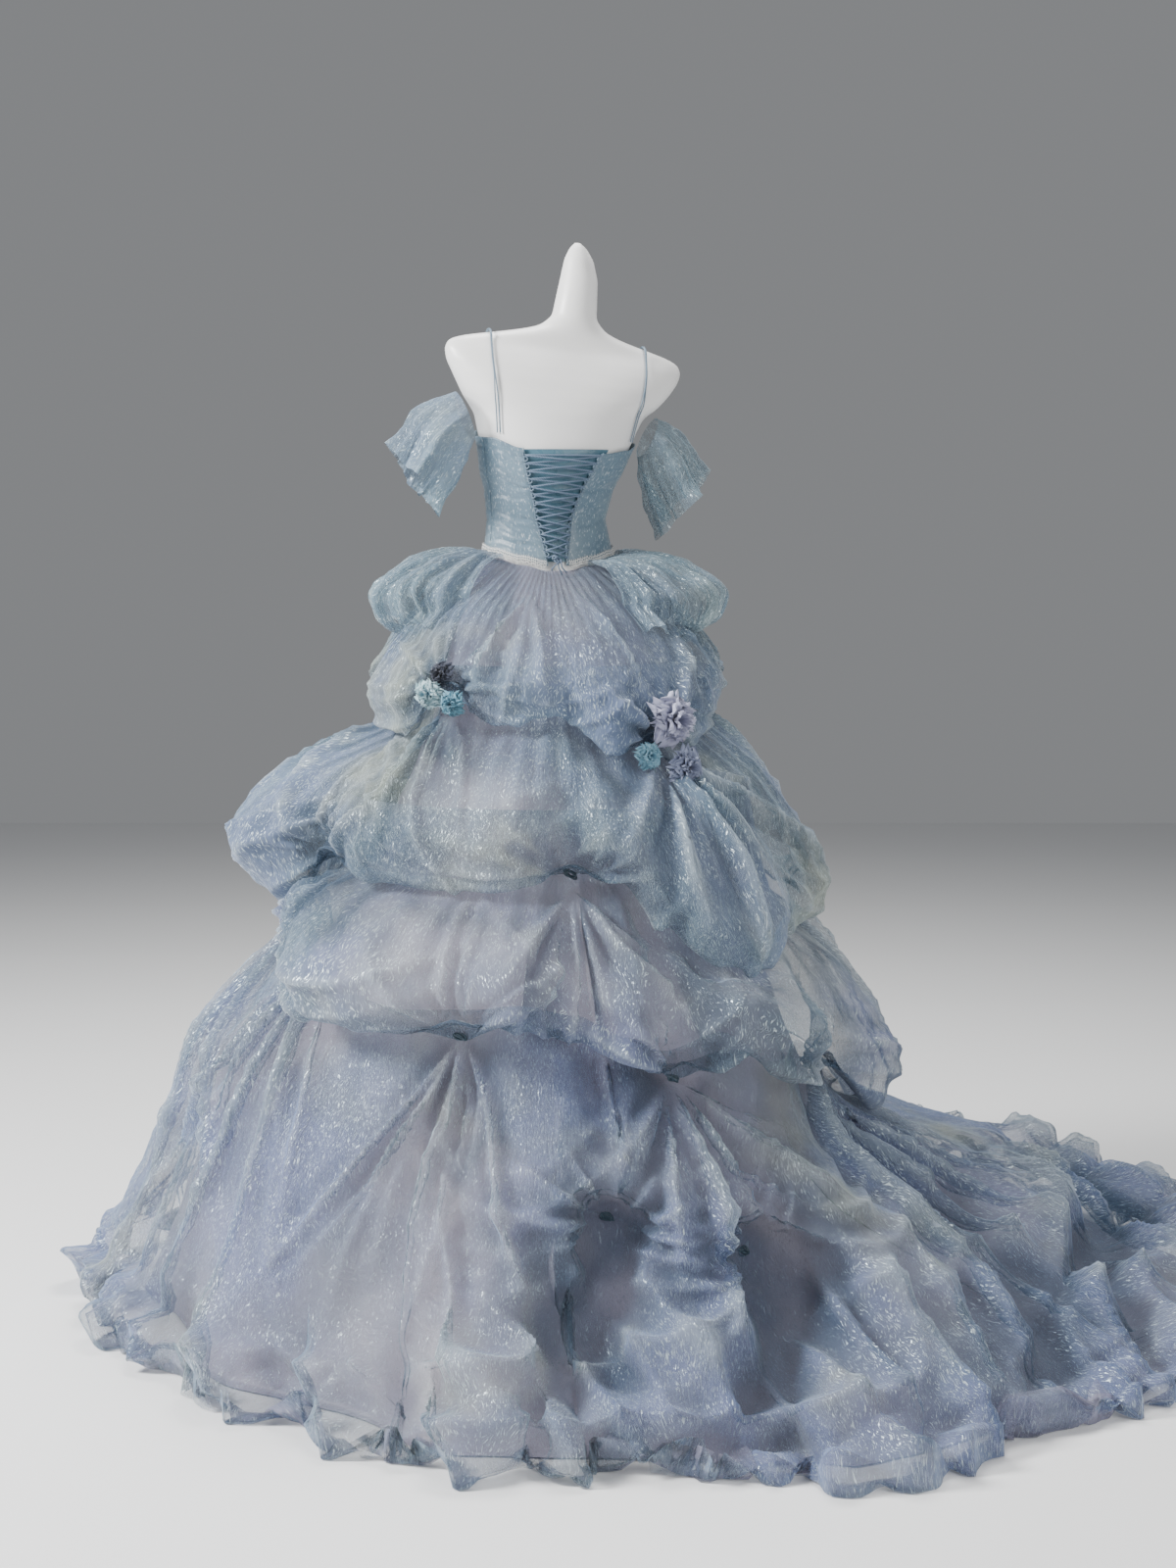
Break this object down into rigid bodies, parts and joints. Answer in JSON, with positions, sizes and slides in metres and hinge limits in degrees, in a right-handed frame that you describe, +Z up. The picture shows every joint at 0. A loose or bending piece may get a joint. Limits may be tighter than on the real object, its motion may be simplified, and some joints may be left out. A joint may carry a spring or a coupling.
{
  "type": "ball gown on a limbless dress form with stand",
  "caption": "Full ball gown with laced bodice, off-the-shoulder sleeves, caught-up tulle overskirts and a long train, worn by a smooth limbless dress form on a round stand.",
  "frame": {"origin": "centre of the stand's base on the floor, under the dress form's axis", "axes": "+Z up, -Y towards the laced back of the gown, +X towards the train"},
  "size_m": [2.0809, 1.6929, 1.7625],
  "materials": {
    "tulle": "sheer glitter tulle, silvery",
    "tulle_pale": "sheer glitter tulle, pale",
    "underskirt_satin": "soft satin",
    "bodice_satin": "satin sheen",
    "panel_satin": "satin sheen",
    "lacing": "satin cord",
    "lace": "matte lace",
    "form_shell": "smooth, satin",
    "stand_metal": "satin",
    "flower_dark": "matte petals",
    "flower_pale": "matte petals",
    "flower_lilac": "matte petals",
    "flower_turquoise": "matte petals",
    "flower_grey": "matte petals"
  },
  "bodies": {
    "root": {"form_torso": "form_shell", "stand": "stand_metal", "bodice_back_left": "bodice_satin", "bodice_back_right": "bodice_satin", "bodice_side_left": "bodice_satin", "bodice_side_right": "bodice_satin", "bodice_front": "bodice_satin", "modesty_panel": "panel_satin", "loop_strip_left": "lacing", "loop_strip_right": "lacing", "lacing_cord": "lacing", "waist_lace": "lace", "strap_left": "lacing", "strap_right": "lacing", "sleeve_left": "tulle_pale", "sleeve_right": "tulle_pale", "overskirt_upper": "tulle", "overskirt_middle": "tulle", "overskirt_lower": "tulle", "overskirt_hem": "tulle", "underskirt_left": "underskirt_satin", "underskirt_back": "underskirt_satin", "underskirt_right": "underskirt_satin", "hip_puff_left": "tulle_pale", "hip_puff_right": "tulle_pale", "flower_left_dark": "flower_dark", "flower_left_pale": "flower_pale", "flower_right_lilac": "flower_lilac", "flower_right_turquoise": "flower_turquoise", "flower_right_grey": "flower_grey"}
  },
  "joints": []
}
